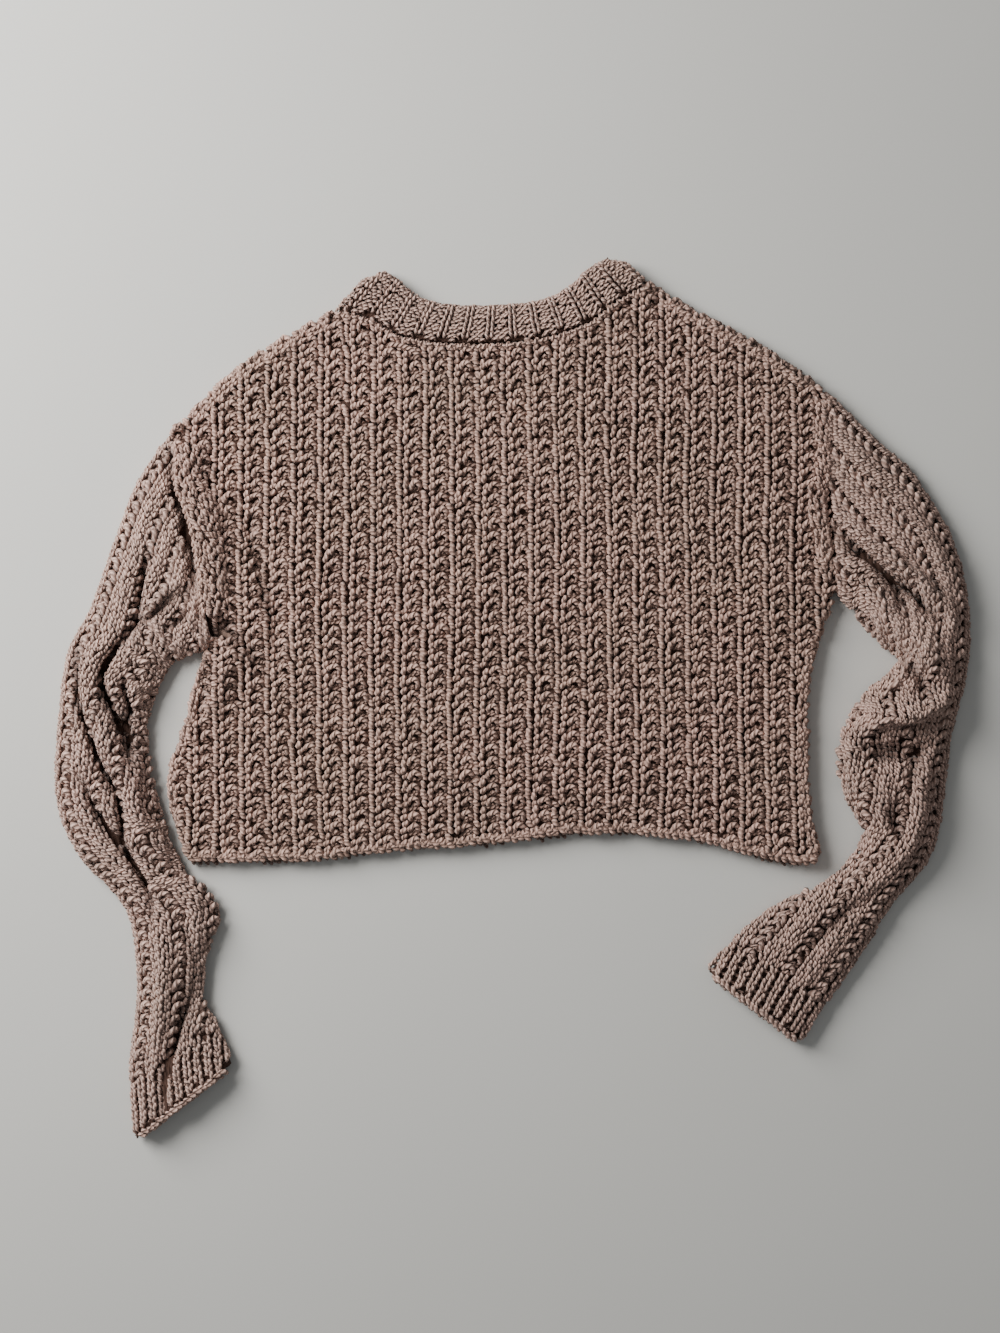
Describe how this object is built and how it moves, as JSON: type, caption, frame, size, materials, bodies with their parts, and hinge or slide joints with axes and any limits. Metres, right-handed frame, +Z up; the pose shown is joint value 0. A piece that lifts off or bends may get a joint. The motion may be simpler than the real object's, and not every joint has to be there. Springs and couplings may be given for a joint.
{
  "type": "cropped knit sweater",
  "caption": "Cropped crew-neck sweater in chunky knit, laid flat with its back up and both long sleeves bent beside it.",
  "frame": {"origin": "middle of the garment's bounding box at the level of the surface that it lies on", "axes": "+Z up from the surface, +Y from hem to neck, +X to the right as seen from above"},
  "size_m": [0.726, 0.7066, 0.0384],
  "materials": {
    "knit_body": "matte dusty mauve-taupe plied wool, lace-like ridge and eyelet knit",
    "knit_beneath": "matte dusty mauve-taupe plied wool, hidden side",
    "knit_sleeves": "matte dusty mauve-taupe plied wool, bands of smooth and open knit",
    "rib": "matte dusty mauve-taupe plied wool, ribbed"
  },
  "bodies": {
    "root": {"back_panel": "knit_body", "front_panel": "knit_beneath", "left_sleeve": "knit_sleeves", "right_sleeve": "knit_sleeves", "left_cuff": "rib", "right_cuff": "rib", "neckband": "rib"}
  },
  "joints": []
}
